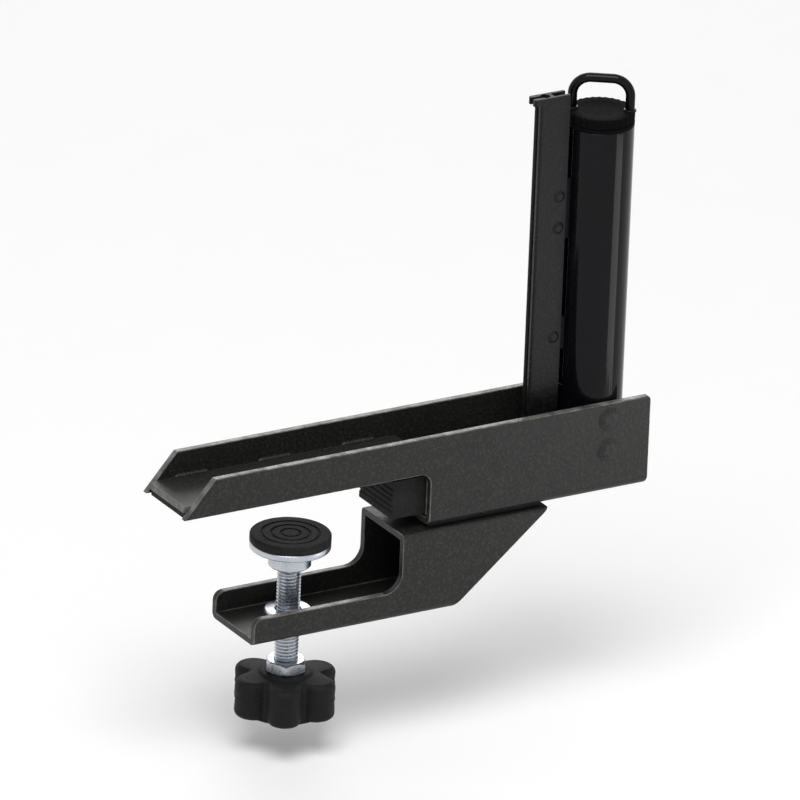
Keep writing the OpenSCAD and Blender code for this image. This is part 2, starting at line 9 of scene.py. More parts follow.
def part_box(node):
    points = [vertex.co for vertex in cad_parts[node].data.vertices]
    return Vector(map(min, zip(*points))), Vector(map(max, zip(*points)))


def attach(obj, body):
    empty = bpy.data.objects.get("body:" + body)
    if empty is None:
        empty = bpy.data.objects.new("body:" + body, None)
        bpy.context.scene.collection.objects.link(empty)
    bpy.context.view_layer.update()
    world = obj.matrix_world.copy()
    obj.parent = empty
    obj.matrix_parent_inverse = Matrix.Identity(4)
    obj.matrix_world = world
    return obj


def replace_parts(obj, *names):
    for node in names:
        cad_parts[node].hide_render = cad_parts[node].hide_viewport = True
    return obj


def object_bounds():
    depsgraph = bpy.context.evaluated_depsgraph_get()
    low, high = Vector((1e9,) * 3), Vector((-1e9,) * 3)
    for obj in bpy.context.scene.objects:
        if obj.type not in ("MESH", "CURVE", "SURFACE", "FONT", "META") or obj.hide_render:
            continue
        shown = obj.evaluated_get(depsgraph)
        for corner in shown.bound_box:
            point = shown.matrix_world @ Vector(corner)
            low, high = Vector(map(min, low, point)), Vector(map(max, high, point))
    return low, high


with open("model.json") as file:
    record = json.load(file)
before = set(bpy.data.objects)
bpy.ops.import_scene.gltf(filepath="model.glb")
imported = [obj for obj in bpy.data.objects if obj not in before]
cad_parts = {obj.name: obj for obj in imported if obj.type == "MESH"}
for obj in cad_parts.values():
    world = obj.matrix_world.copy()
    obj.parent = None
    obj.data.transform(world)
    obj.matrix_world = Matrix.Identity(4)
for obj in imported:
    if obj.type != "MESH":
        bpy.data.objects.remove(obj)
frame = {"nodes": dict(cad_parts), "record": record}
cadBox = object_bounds()
mm = 0.001  # the scene is in metres, and the pieces' sizes are written in millimetres
turn = 2 * math.pi
scene = bpy.context.scene
random.seed(7)

record = frame["record"]
bodyOf = {node: body for body, nodes in record["behaviour"]["bodies"].items() for node in nodes}
slotOf = {row["node"]: row["material_slot"] for row in record["subparts"]}


# sRGB hex to the linear colour that the shaders take
def hexColour(code):
    parts = [int(code[i:i + 2], 16) / 255 for i in (1, 3, 5)]
    return [p / 12.92 if p <= 0.04045 else ((p + 0.055) / 1.055) ** 2.4 for p in parts] + [1.0]


# adds a node with its settings, sets or links its inputs, and gives back one output
def addNode(tree, kind, inputs=None, out=0, **settings):
    node = tree.nodes.new("ShaderNode" + kind)
    for name, value in settings.items():
        setattr(node, name, value)
    for socket, value in (inputs or {}).items():
        if isinstance(value, bpy.types.NodeSocket):
            tree.links.new(value, node.inputs[socket])
        else:
            node.inputs[socket].default_value = value
    return node.outputs[out] if len(node.outputs) else None


# a material with the surface that its finish gives back
def newMaterial(name, finish, look):
    material = bpy.data.materials.new(name)
    material.use_nodes = True
    tree = material.node_tree
    tree.nodes.clear()
    here = addNode(tree, "TexCoord", out="Object")
    addNode(tree, "OutputMaterial", {"Surface": finish(tree, here, look)})
    return material


coatLook = {
    # the pale edge colour is rubbed paint and also a painted highlight along the edges
    "base": "#191918", "mottle": "#242423", "fleck": "#343432", "wornAndHighlit": "#74746f",
    "grain": 1.2,  # real grain is 0.2 mm, drawn coarser so that it shows
    "grainDepth": 0.16, "peel": 4.0, "peelDepth": 0.07, "cloud": 14.0,
    "patch": 5.0,  # breaks the wear and the painted edge highlight into stretches along an edge
    "roughness": (0.34, 0.52), "polish": 0.22, "specular": 0.26,
}
# its paler edge colour too is rubbed paint and a painted highlight
railLook = {**coatLook, "base": "#0f0f10", "mottle": "#161617", "fleck": "#202021", "wornAndHighlit": "#343434",
            "specular": 0.18}


# polyester powder coat on folded steel: satin, with a sandy grain over slow orange peel,
# and paler and smoother along its bends and cut edges: rubbed paint there, with a painted highlight in the
# pale colour
def powderCoat(tree, here, look):
    grain, peel, cloud, patch = [
        addNode(tree, "TexNoise", {"Vector": here, "Scale": 1 / (look[size] * mm), "Detail": detail})
        for size, detail in (("grain", 3.0), ("peel", 1.0), ("cloud", 4.0), ("patch", 4.0))]
    edge = addNode(tree, "Attribute", out="Fac", attribute_name="edgeWearAndHighlight")
    rubbedAndLitStretches = addNode(tree, "MapRange", {"Value": patch, "From Min": 0.35, "From Max": 0.65, "To Min": 0.25})
    wornAndHighlit = addNode(tree, "Math", {0: edge, 1: rubbedAndLitStretches}, operation="MULTIPLY")
    mottled = addNode(tree, "Mix", {0: cloud, 6: hexColour(look["base"]), 7: hexColour(look["mottle"])}, 2,
                      data_type="RGBA")
    raised = addNode(tree, "MapRange", {"Value": grain, "From Min": 0.48, "From Max": 0.72})
    flecked = addNode(tree, "Mix", {0: raised, 6: mottled, 7: hexColour(look["fleck"])}, 2,
                      data_type="RGBA")
    # mixes in the paler edge colour: rubbed paint and a painted highlight on the edges
    colour = addNode(tree, "Mix", {0: wornAndHighlit, 6: flecked, 7: hexColour(look["wornAndHighlit"])}, 2, data_type="RGBA")
    low, high = look["roughness"]
    matt = addNode(tree, "MapRange", {"Value": grain, "From Min": 0.3, "From Max": 0.7,
                                      "To Min": low, "To Max": high})
    gain = addNode(tree, "Math", {0: wornAndHighlit, 1: look["polish"]}, operation="MULTIPLY")
    rough = addNode(tree, "Math", {0: matt, 1: gain}, operation="SUBTRACT")
    wavy = addNode(tree, "Bump", {"Height": peel, "Distance": look["peelDepth"] * mm})
    sandy = addNode(tree, "Bump", {"Height": grain, "Distance": look["grainDepth"] * mm, "Normal": wavy})
    return addNode(tree, "BsdfPrincipled", {"Base Color": colour, "Roughness": rough, "Normal": sandy,
                                            "IOR": 1.5, "Specular IOR Level": look["specular"]})


enamelLook = {
    "base": "#08080a", "haze": "#0e0e13", "cloud": 22.0,
    "peel": 4.0, "peelDepth": 0.02,
    "dust": 0.8,  # real specks are 0.1 mm, drawn coarser
    "roughness": (0.05, 0.12), "specular": 0.14,
}


# stoved enamel on drawn tube and bent rod: deep black and glossy, with a very slight orange peel
def blackEnamel(tree, here, look):
    cloud, dust, peel = [
        addNode(tree, "TexNoise", {"Vector": here, "Scale": 1 / (look[size] * mm), "Detail": detail})
        for size, detail in (("cloud", 2.0), ("dust", 3.0), ("peel", 1.0))]
    colour = addNode(tree, "Mix", {0: cloud, 6: hexColour(look["base"]), 7: hexColour(look["haze"])}, 2,
                     data_type="RGBA")
    low, high = look["roughness"]
    rough = addNode(tree, "MapRange", {"Value": dust, "From Min": 0.3, "From Max": 0.7,
                                       "To Min": low, "To Max": high})
    wavy = addNode(tree, "Bump", {"Height": peel, "Distance": look["peelDepth"] * mm})
    return addNode(tree, "BsdfPrincipled", {"Base Color": colour, "Roughness": rough, "Normal": wavy,
                                            "IOR": 1.5, "Specular IOR Level": look["specular"]})


absLook = {
    "base": "#0b0b0d", "flow": "#131317", "flowLength": 14.0, "flowWidth": 2.5,
    "spark": 1.4,  # faint waves that the mould's polishing leaves
    "sparkDepth": 0.012, "roughness": (0.14, 0.24), "specular": 0.3,
}
nylonLook = {
    "base": "#121213", "flow": "#1a1a1b", "flowLength": 11.0, "flowWidth": 6.0,
    "spark": 0.9,  # real pits are 0.3 mm, drawn coarser
    "sparkDepth": 0.07, "roughness": (0.56, 0.72), "specular": 0.15,
}
mattLook = {**nylonLook, "base": "#060607", "flow": "#0c0c0d", "roughness": (0.74, 0.88), "specular": 0.05}


# injection moulding, ABS from a polished mould or nylon from a spark-eroded one:
# glossy with soft flow streaks along the piece, or dull with fine pits
def mouldedPlastic(tree, here, look):
    width = 1 / (look["flowWidth"] * mm)
    length = 1 / (look["flowLength"] * mm)
    drawn = addNode(tree, "VectorMath", {0: here, 1: (width, width, length)}, operation="MULTIPLY")
    flow = addNode(tree, "TexNoise", {"Vector": drawn, "Scale": 1.0, "Detail": 3.0})
    spark = addNode(tree, "TexNoise", {"Vector": here, "Scale": 1 / (look["spark"] * mm), "Detail": 4.0})
    colour = addNode(tree, "Mix", {0: flow, 6: hexColour(look["base"]), 7: hexColour(look["flow"])}, 2,
                     data_type="RGBA")
    low, high = look["roughness"]
    rough = addNode(tree, "MapRange", {"Value": spark, "From Min": 0.3, "From Max": 0.7,
                                       "To Min": low, "To Max": high})
    pitted = addNode(tree, "Bump", {"Height": spark, "Distance": look["sparkDepth"] * mm})
    return addNode(tree, "BsdfPrincipled", {"Base Color": colour, "Roughness": rough, "Normal": pitted,
                                            "IOR": 1.53, "Specular IOR Level": look["specular"]})


rubberLook = {
    "base": "#121212", "bloom": "#222221", "cloud": 7.0,
    "grain": 1.1,  # real grain is 0.3 mm, drawn coarser
    "grainDepth": 0.05, "roughness": (0.70, 0.88), "specular": 0.25,
    "handled": 0.35,  # share of the bloom that all edges have
}


# compression-moulded rubber: dull black, with a faint grey bloom in patches and where it is handled
def vulcanisedRubber(tree, here, look):
    cloud = addNode(tree, "TexNoise", {"Vector": here, "Scale": 1 / (look["cloud"] * mm), "Detail": 5.0})
    grain = addNode(tree, "TexNoise", {"Vector": here, "Scale": 1 / (look["grain"] * mm), "Detail": 3.0})
    edge = addNode(tree, "Attribute", out="Fac", attribute_name="edgeWearAndHighlight")
    patch = addNode(tree, "MapRange", {"Value": cloud, "From Min": 0.45, "From Max": 0.75, "To Max": 0.8})
    dusty = addNode(tree, "Math", {0: edge, 1: look["handled"], 2: patch}, operation="MULTIPLY_ADD",
                    use_clamp=True)
    colour = addNode(tree, "Mix", {0: dusty, 6: hexColour(look["base"]), 7: hexColour(look["bloom"])}, 2,
                     data_type="RGBA")
    low, high = look["roughness"]
    rough = addNode(tree, "MapRange", {"Value": grain, "From Min": 0.3, "From Max": 0.7,
                                       "To Min": low, "To Max": high})
    dull = addNode(tree, "Bump", {"Height": grain, "Distance": look["grainDepth"] * mm})
    return addNode(tree, "BsdfPrincipled", {"Base Color": colour, "Roughness": rough, "Normal": dull,
                                            "IOR": 1.52, "Specular IOR Level": look["specular"]})


# the three metals' tool marks are really 0.1 to 0.2 mm apart and their grain 0.1 mm, both drawn coarser
zincLook = {  # bright zinc plate: cool silver, clouded by the passivation
    "base": "#c6c9cd", "cloudy": "#a9b0b9", "cloud": 6.0, "marks": 0.35, "markDepth": 0.012,
    "grain": 1.0, "grainDepth": 0.004, "roughness": (0.22, 0.38),
}
springLook = {  # hardened strip, blued and oiled: dark grey with a soft shine
    "base": "#6a6c72", "cloudy": "#50535c", "cloud": 3.0, "marks": 0.5, "markDepth": 0.004,
    "grain": 0.7, "grainDepth": 0.004, "roughness": (0.24, 0.34),
}
brassLook = {  # free-cutting brass, left bare: warm yellow, duller in patches
    "base": "#cfae68", "cloudy": "#a98548", "cloud": 5.0, "marks": 0.4, "markDepth": 0.012,
    "grain": 0.9, "grainDepth": 0.004, "roughness": (0.20, 0.36),
}


# machined metal: a clean shine broken by fine marks, which run round the axis that the piece
# was turned on, kept by its mesh as turnedAt
def turnedMetal(tree, here, look):
    at = addNode(tree, "Attribute", out="Vector", attribute_name="turnedAt")
    apart = addNode(tree, "VectorMath", {0: at, 1: (1, 1, 0)}, operation="MULTIPLY")
    radius = addNode(tree, "VectorMath", {0: apart}, "Value", operation="LENGTH")
    height = addNode(tree, "SeparateXYZ", {0: at}, "Z")
    track = addNode(tree, "CombineXYZ", {"X": radius, "Y": height})
    marks = addNode(tree, "TexNoise", {"Vector": track, "Scale": 1 / (look["marks"] * mm), "Detail": 2.0},
                    noise_dimensions="2D")
    cloud = addNode(tree, "TexNoise", {"Vector": here, "Scale": 1 / (look["cloud"] * mm), "Detail": 3.0})
    grain = addNode(tree, "TexNoise", {"Vector": here, "Scale": 1 / (look["grain"] * mm), "Detail": 3.0})
    colour = addNode(tree, "Mix", {0: cloud, 6: hexColour(look["base"]), 7: hexColour(look["cloudy"])}, 2,
                     data_type="RGBA")
    both = addNode(tree, "Math", {0: marks, 1: grain}, operation="ADD")
    low, high = look["roughness"]
    rough = addNode(tree, "MapRange", {"Value": both, "From Min": 0.7, "From Max": 1.3,
                                       "To Min": low, "To Max": high})
    fine = addNode(tree, "Bump", {"Height": grain, "Distance": look["grainDepth"] * mm})
    turned = addNode(tree, "Bump", {"Height": marks, "Distance": look["markDepth"] * mm, "Normal": fine})
    return addNode(tree, "BsdfPrincipled", {"Base Color": colour, "Roughness": rough, "Normal": turned,
                                            "Metallic": 1.0})


materialOf = {
    "charcoal_paint": newMaterial("powderCoatCharcoal", powderCoat, coatLook),
    "rail_paint": newMaterial("powderCoatBlack", powderCoat, railLook),
    "gloss_post": newMaterial("stovedEnamelBlack", blackEnamel, enamelLook),
    "gloss_cap": newMaterial("absPolishedBlack", mouldedPlastic, absLook),
    "black_plastic": newMaterial("nylonSparkedBlack", mouldedPlastic, nylonLook),
    "rubber": newMaterial("rubberVulcanised", vulcanisedRubber, rubberLook),
    "zinc_plate": newMaterial("zincPlateBright", turnedMetal, zincLook),
    "spring_steel": newMaterial("springSteelOiled", turnedMetal, springLook),
    "brass": newMaterial("brassTurned", turnedMetal, brassLook),
}
materialOf["gloss_rod"] = materialOf["gloss_post"]
mattNylon = newMaterial("nylonMattBlack", mouldedPlastic, mattLook)  # rich in carbon black: deep, dull
print("materials made:", len(bpy.data.materials))


# a node's lowest and highest corner in millimetres
def boxMm(node):
    low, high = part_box(node)
    return low / mm, high / mm


# puts a mesh in the scene as a piece that rides on a body, in its slot's material or a finish of its own
def addPiece(name, bm, body, slot, sharpDegrees, evenNormals=False, finish=None):
    bmesh.ops.recalc_face_normals(bm, faces=bm.faces)
    mesh = bpy.data.meshes.new(name)
    bm.to_mesh(mesh)
    bm.free()
    mesh.polygons.foreach_set("use_smooth", [True] * len(mesh.polygons))
    mesh.set_sharp_from_angle(angle=math.radians(sharpDegrees))
    mesh.materials.append(finish or materialOf[slot])
    piece = bpy.data.objects.new(name, mesh)
    scene.collection.objects.link(piece)
    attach(piece, body)
    if evenNormals:  # so that large flat faces stay flat beside their rounded edges
        even = piece.modifiers.new("even", "WEIGHTED_NORMAL")
        even.keep_sharp = True
        even.weight = 60
    return piece


# the same for a piece that stands for one CAD node
def dressNode(node, look, bm, sharpDegrees=32, **more):
    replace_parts(addPiece(node + "_" + look, bm, bodyOf[node], slotOf[node], sharpDegrees, **more), node)


roundingLook = {
    "corner": 28,  # edges that turn by more degrees than this are rounded
    "flat": 0.3,  # and faces that turn by fewer are one face
    "holeRim": 14.0,  # a ring of sharp edges smaller than this is a hole's rim and stays sharp
    "cutEdge": 2.6,  # a face narrower than this between two rounded corners is the sheet's cut edge
    "beside": 0.8,  # share of such a face's outline that runs along rounded corners
}


# the sharp edges that get rounded: all but the rims of holes, or only those round the piece's two ends
def edgesToRound(bm, endsOnly):
    corner = math.radians(roundingLook["corner"])
    corners = [e for e in bm.edges if e.is_manifold and e.calc_face_angle() > corner]
    if endsOnly:
        heights = [v.co.z for v in bm.verts]
        low = min(heights) + 0.01 * mm
        high = max(heights) - 0.01 * mm
        return [e for e in corners
                if all(v.co.z < low for v in e.verts) or all(v.co.z > high for v in e.verts)]
    sharpAt = {}
    for edge in corners:
        for vert in edge.verts:
            sharpAt.setdefault(vert, []).append(edge)
    seen = set()
    kept = []
    for first in corners:
        if first in seen:
            continue
        seen.add(first)
        chain = [first]
        for edge in chain:  # grows while it is walked
            for vert in edge.verts:
                if len(sharpAt[vert]) == 2:
                    fresh = [e for e in sharpAt[vert] if e not in seen]
                    seen.update(fresh)
                    chain += fresh
        onChain = [vert for edge in chain for vert in edge.verts]
        ring = all(len(sharpAt[vert]) == 2 for vert in onChain)
        reach = max(max(axis) - min(axis) for axis in zip(*(vert.co for vert in onChain)))
        if not ring or reach > roundingLook["holeRim"] * mm:
            kept += chain
    return kept


# a copy of a node's mesh with its corners rounded by a width in millimetres;
# the rounded faces and the cut edges are marked for the paint's wear and its painted edge highlight
def roundedCopy(node, width, segments, endsOnly):
    bm = bmesh.new()
    bm.from_mesh(frame["nodes"][node].data)
    wearAndHighlightLayer = bm.faces.layers.float.new("edgeWearAndHighlight")
    flat = math.radians(roundingLook["flat"])
    bmesh.ops.remove_doubles(bm, verts=bm.verts, dist=0.001 * mm)
    bmesh.ops.dissolve_limit(bm, angle_limit=flat, verts=bm.verts, edges=bm.edges)
    corners = edgesToRound(bm, endsOnly)
    made = bmesh.ops.bevel(bm, geom=corners, offset=width * mm, offset_type="OFFSET", segments=segments,
                           profile=0.5, affect="EDGES", clamp_overlap=False, loop_slide=True)
    rounded = set(made["faces"])
    for face in bm.faces:
        rim = sum(e.calc_length() for e in face.edges if rounded.intersection(e.link_faces))
        longest = max(e.calc_length() for e in face.edges)
        narrow = face.calc_area() < roundingLook["cutEdge"] * mm * longest
        beside = rim > roundingLook["beside"] * face.calc_perimeter()
        # rounded faces and cut edges take the paler edge colour: rubbed paint and a painted highlight
        if face in rounded or (narrow and beside):
            face[wearAndHighlightLayer] = 1.0
    return bm


# a piece that needs nothing more than rounded corners
def roundNode(node, look, width, segments=3, endsOnly=False, finish=None):
    bm = roundedCopy(node, width, segments, endsOnly)
    dressNode(node, look, bm, 50, evenNormals=True, finish=finish)


# the layer in which a mesh keeps where its vertices were on the lathe
def turnedLayer(bm):
    layers = bm.verts.layers.float_vector
    return layers.get("turnedAt") or layers.new("turnedAt")


# a vertex at an angle, radius and height on the lathe, then moved to its place
def turnedVert(bm, keep, place, angle, radius, height):
    at = Vector((radius * math.cos(angle), radius * math.sin(angle), height))
    vert = bm.verts.new(place @ at * mm)
    vert[keep] = at * mm
    return vert


# a solid of rings, from the rows of its profile: (radius, height, follow) in millimetres.
# follow 1 takes the outline's shape at that angle, and 0 stays round;
# a closed profile joins its last row to its first
def ringSolid(bm, rows, steps=64, outline=None, closed=False, place=Matrix.Identity(4)):
    keep = turnedLayer(bm)
    rings = []
    for row in rows:
        radius, height, follow = row if len(row) == 3 else (*row, 0)
        ring = []
        for i in range(1 if radius <= 0 and not follow else steps):
            angle = turn * i / steps
            reach = radius + (outline(angle) * follow if outline else 0)
            ring.append(turnedVert(bm, keep, place, angle, reach, height))
        rings.append(ring)
    pairs = list(zip(rings, rings[1:])) + ([(rings[-1], rings[0])] if closed else [])
    for below, above in pairs:
        for i in range(steps):
            quad = [below[i % len(below)], below[(i + 1) % len(below)],
                    above[(i + 1) % len(above)], above[i % len(above)]]
            quad = list(dict.fromkeys(quad))
            if len(quad) > 2:
                bm.faces.new(quad)
    return bm


# points of a profile's rounded corner, from one angle to another in degrees
def arcRows(centreRadius, centreHeight, r, start, end, count=5, follow=0):
    angles = [math.radians(start + (end - start) * i / (count - 1)) for i in range(count)]
    return [(centreRadius + r * math.cos(a), centreHeight + r * math.sin(a), follow) for a in angles]


# a round rod with a helical thread: its rows follow the helix, so that the crest is one unbroken line
def threadedRod(bm, low, high, crest, root, pitch, steps=40, place=Matrix.Identity(4)):
    keep = turnedLayer(bm)
    shape = [0.0, 0.0, 0.5, 1.0, 1.0, 0.5]  # one pitch, from root to crest and back
    rowsPerTurn = len(shape)
    rowCount = math.ceil((high - low) / pitch + 2) * rowsPerTurn
    rows = []
    for k in range(rowCount):
        row = []
        for j in range(steps):
            height = low - pitch + pitch * (k / rowsPerTurn + j / steps)
            inside = min(max(height, low), high)
            runOut = min(1.0, (inside - low) / pitch, (high - inside) / pitch)
            r = root + (crest - root) * shape[k % rowsPerTurn] * max(0.0, runOut)
            row.append(turnedVert(bm, keep, place, turn * j / steps, r, inside))
        rows.append(row)
    made = [v for row in rows for v in row]
    for k in range(rowCount - 1):
        for j in range(steps - 1):
            bm.faces.new([rows[k][j], rows[k][j + 1], rows[k + 1][j + 1], rows[k + 1][j]])
    for k in range(rowCount - 1 - rowsPerTurn):
        bm.faces.new([rows[k][steps - 1], rows[k + rowsPerTurn][0],
                      rows[k + 1 + rowsPerTurn][0], rows[k + 1][steps - 1]])
    bmesh.ops.remove_doubles(bm, verts=made, dist=0.002 * mm)
    return bm


# joins rings that touch and drops faces that have closed up
def tidyMesh(bm, gap=0.004):
    bmesh.ops.remove_doubles(bm, verts=bm.verts, dist=gap * mm)
    bmesh.ops.dissolve_degenerate(bm, edges=bm.edges, dist=gap * mm / 4)
    loose = [v for v in bm.verts if not v.link_faces]
    bmesh.ops.delete(bm, geom=loose, context="VERTS")
    return bm


# a round bar swept along points in millimetres, with a radius for each point
def sweptBar(bm, points, radii, sides=12, closed=False):
    count = len(points)
    rings = []
    side = None
    for i, point in enumerate(points):
        before = points[i - 1] if i or closed else point
        after = points[(i + 1) % count] if i < count - 1 or closed else point
        along = (after - before).normalized()
        if side is None:
            side = along.orthogonal().normalized()
        side = (side - along * side.dot(along)).normalized()
        up = along.cross(side)
        ring = []
        for s in range(sides):
            spoke = side * math.cos(turn * s / sides) + up * math.sin(turn * s / sides)
            ring.append(bm.verts.new((point + spoke * radii[i]) * mm))
        rings.append(ring)
    pairs = list(zip(rings, rings[1:])) + ([(rings[-1], rings[0])] if closed else [])
    for a, b in pairs:
        for s in range(sides):
            bm.faces.new([a[s], a[(s + 1) % sides], b[(s + 1) % sides], b[s]])
    if not closed:
        bm.faces.new(rings[0][::-1])
        bm.faces.new(rings[-1])
    return bm


# folded steel: arm, jaw plate, bracket and hook, each with the radius of its edges
armLook = {"edge": 0.4, "plateEdge": 0.5, "bracketEdge": 0.35, "hookEdge": 0.45}
roundNode("arm_channel", "folded", armLook["edge"])
roundNode("jaw_plate", "bent", armLook["plateEdge"])
roundNode("lower_bracket", "folded", armLook["bracketEdge"])
roundNode("cord_hook", "bent", armLook["hookEdge"])
print("folded steel done")

# rubber pieces and the plate between arm and bracket
padLook = {"edge": 0.45, "bumperEdge": 0.3, "spacerEdge": 0.35, "segments": 2}
roundNode("jaw_pad", "grooved", padLook["edge"], padLook["segments"])
roundNode("edge_bumper", "ribbed", padLook["bumperEdge"], padLook["segments"])
roundNode("spacer_plate", "cut", padLook["spacerEdge"], padLook["segments"])

# post, rail and the rail's sliders
postLook = {"tubeEdge": 0.35, "bushEdge": 0.3, "railEdge": 0.2, "stopEdge": 0.35, "sliderEdge": 0.3}
roundNode("post_tube", "enamelled", postLook["tubeEdge"])
roundNode("top_bush", "moulded", postLook["bushEdge"], finish=mattNylon)
roundNode("net_rail", "extruded", postLook["railEdge"], endsOnly=True)
roundNode("rail_stop", "moulded", postLook["stopEdge"])
roundNode("height_nut", "milled", postLook["sliderEdge"])
roundNode("guide_shoe", "moulded", postLook["sliderEdge"])
print("post and rail done")


# clamp screw: turned tip and neck, then an M10 thread down to the knob
screwLook = {
    "pitch": 1.5, "threadDepth": 0.92, "chamfer": 0.8, "steps": 40,
    "shoulderGap": 0.3,  # from the shoulder to the disc's hub
    "shoulder": 1.2, "shoulderCut": 0.1, "shoulderEdge": 0.4,
    "tipHead": 3.4, "tipRelief": 0.35, "tipEdge": 1.0, "headEdge": 0.3, "neckCut": 1.1,
}


def clampScrew():
    low, high = boxMm("clamp_screw")
    steps = screwLook["steps"]
    chamfer = screwLook["chamfer"]
    crest = high.x
    root = crest - screwLook["threadDepth"]
    collar = crest - screwLook["shoulderCut"]
    shoulder = boxMm("pressure_disc")[0].z - screwLook["shoulderGap"]
    threadTop = shoulder - screwLook["shoulder"]
    edge = screwLook["shoulderEdge"]
    headLow = high.z - screwLook["tipHead"]
    headR = crest - screwLook["tipRelief"]
    headEdge = screwLook["headEdge"]
    tipEdge = screwLook["tipEdge"]
    neckR = headR - screwLook["neckCut"]
    rows = [(root, threadTop), (collar, threadTop + 0.5), (collar, shoulder - edge),
            (crest - 0.5, shoulder), (neckR, shoulder), (neckR, headLow),
            (headR - headEdge, headLow), (headR, headLow + headEdge),
            (headR, high.z - tipEdge), (headR - tipEdge, high.z), (0, high.z)]
    bm = ringSolid(bmesh.new(), rows, steps)
    threadedRod(bm, low.z + chamfer, threadTop, crest, root, screwLook["pitch"], steps)
    ringSolid(bm, [(0, low.z), (root - chamfer, low.z), (root, low.z + chamfer)], steps)
    dressNode("clamp_screw", "threaded", tidyMesh(bm), 24)


clampScrew()


nutLook = {
    "face": 0.95,  # width of the flat ring round the bore, as a share of the width across flats
    "slope": 30,  # degrees of the corners' chamfer
    "sink": 0.6,  # of the bore's mouth
    "steps": 72,
}


# how far a hexagon's side is from its centre at an angle
def hexagonR(acrossFlats, angle):
    return acrossFlats / 2 / math.cos(angle % (turn / 6) - turn / 12)


# a hexagon nut with chamfered corners and a countersunk bore
def hexNut(bm, acrossFlats, bore, low, high, place=Matrix.Identity(4)):
    steps = nutLook["steps"]
    sink = nutLook["sink"]
    faceR = acrossFlats / 2 * nutLook["face"]
    slope = math.tan(math.radians(nutLook["slope"]))
    keep = turnedLayer(bm)
    kinds = ("bore", "sink", "face", "side")
    rows = []
    for kind, top in [(kind, False) for kind in kinds] + [(kind, True) for kind in reversed(kinds)]:
        row = []
        for i in range(steps):
            angle = turn * i / steps
            sideR = hexagonR(acrossFlats, angle)
            r = {"bore": bore, "sink": bore + sink, "face": faceR, "side": sideR}[kind]
            inset = {"bore": sink, "sink": 0, "face": 0, "side": (sideR - faceR) * slope}[kind]
            row.append(turnedVert(bm, keep, place, angle, r, high - inset if top else low + inset))
        rows.append(row)
    for a, b in zip(rows, rows[1:] + rows[:1]):
        for i in range(steps):
            bm.faces.new([a[i], a[(i + 1) % steps], b[(i + 1) % steps], b[i]])
    return bm


jamLook = {"acrossFlats": 16.0, "bore": 4.6}


def jamNut():
    low, high = boxMm("jam_nut")
    bm = hexNut(bmesh.new(), jamLook["acrossFlats"], jamLook["bore"], low.z, high.z)
    dressNode("jam_nut", "chamfered", bm, 20)


jamNut()

knobLook = {
    "lobes": 6, "lobeR": 7.0, "edge": 3.0, "bore": 5.02,
    "web": 0.6, "blend": 2.6,  # how far the hub passes the lobes' centres, and how softly they join
    "bossR": 11.0, "bossRise": 1.2, "bossEdge": (0.6, 0.5), "bossFoot": ((0.2, 0.3), (0.8, 0.0)),
    "capR": 9.02, "capRecess": 2.0,
    "pocket": (12.0, 16.5, 2.2),  # ring-shaped pocket in the face under the cap: radii and depth
    "pocketEdge": 0.4, "pocketDraft": 0.3, "capEdge": 0.3,
    "mouldLine": (0.25, 0.35, 0.7),  # its height, and half its width at the top and at the foot
}


# round lobes blended into a hub, as a radius for each angle
def lobeOutline(angle, outer):
    centre = outer - knobLook["lobeR"]
    apart = turn / knobLook["lobes"]
    offset = (angle + apart / 2) % apart - apart / 2
    reach = knobLook["lobeR"] ** 2 - (centre * math.sin(offset)) ** 2
    lobe = centre * math.cos(offset) + math.sqrt(reach) if reach > 0 else 0
    hub = centre + knobLook["web"]
    k = knobLook["blend"]
    h = max(k - abs(lobe - hub), 0) / k
    return max(lobe, hub) + h * h * k / 4


def knob():
    low, high = boxMm("knob")
    outer = high.x
    edge = knobLook["edge"]
    bore = knobLook["bore"]
    boss = knobLook["bossR"]
    top = high.z - knobLook["bossRise"]

    def outline(angle):
        return lobeOutline(angle, outer) - outer
    back, down = knobLook["bossEdge"]
    rows = [(bore, high.z), (boss - back, high.z), (boss, high.z - down)]
    rows += [(boss + out, top + up) for out, up in knobLook["bossFoot"]]
    rows += arcRows(outer - edge, top - edge, edge, 90, 0, 7, 1)
    middle = (low.z + high.z) / 2
    line, lineTop, lineFoot = knobLook["mouldLine"]
    rows += [(outer - line, middle + lineFoot, 1), (outer, middle + lineTop, 1)]
    rows += [(outer, middle - lineTop, 1), (outer - line, middle - lineFoot, 1)]
    rows += arcRows(outer - edge, low.z + edge, edge, 0, -90, 7, 1)
    pocketIn, pocketOut, pocketDeep = knobLook["pocket"]
    lip = knobLook["pocketEdge"]
    draft = knobLook["pocketDraft"]
    pocketTop = low.z + pocketDeep
    rows += [(pocketOut + lip, low.z), (pocketOut, low.z + lip), (pocketOut - draft, pocketTop),
             (pocketIn + draft, pocketTop), (pocketIn, low.z + lip), (pocketIn - lip, low.z)]
    capR = knobLook["capR"]
    capEdge = knobLook["capEdge"]
    recessTop = low.z + knobLook["capRecess"]
    rows += [(capR + capEdge, low.z), (capR, low.z + capEdge), (capR, recessTop), (bore, recessTop)]
    bm = ringSolid(bmesh.new(), rows, 180, outline, closed=True)
    dressNode("knob", "moulded", bm, 38)


knob()

capDiscLook = {"edge": 0.5, "crown": 0.25, "halfway": (0.6, 0.06)}  # share of the radius, and rise there


def knobCap():
    low, high = boxMm("knob_cap")
    r = high.x
    edge = capDiscLook["edge"]
    rim = low.z + capDiscLook["crown"]
    share, rise = capDiscLook["halfway"]
    rows = [(0, low.z), (r * share, low.z + rise), (r - edge - 0.4, rim)]
    rows += arcRows(r - edge, rim + edge, edge, -80, 0, 4) + [(r, high.z), (0, high.z)]
    dressNode("knob_cap", "crowned", ringSolid(bmesh.new(), rows, 64))


knobCap()
print("clamp screw and knob done")

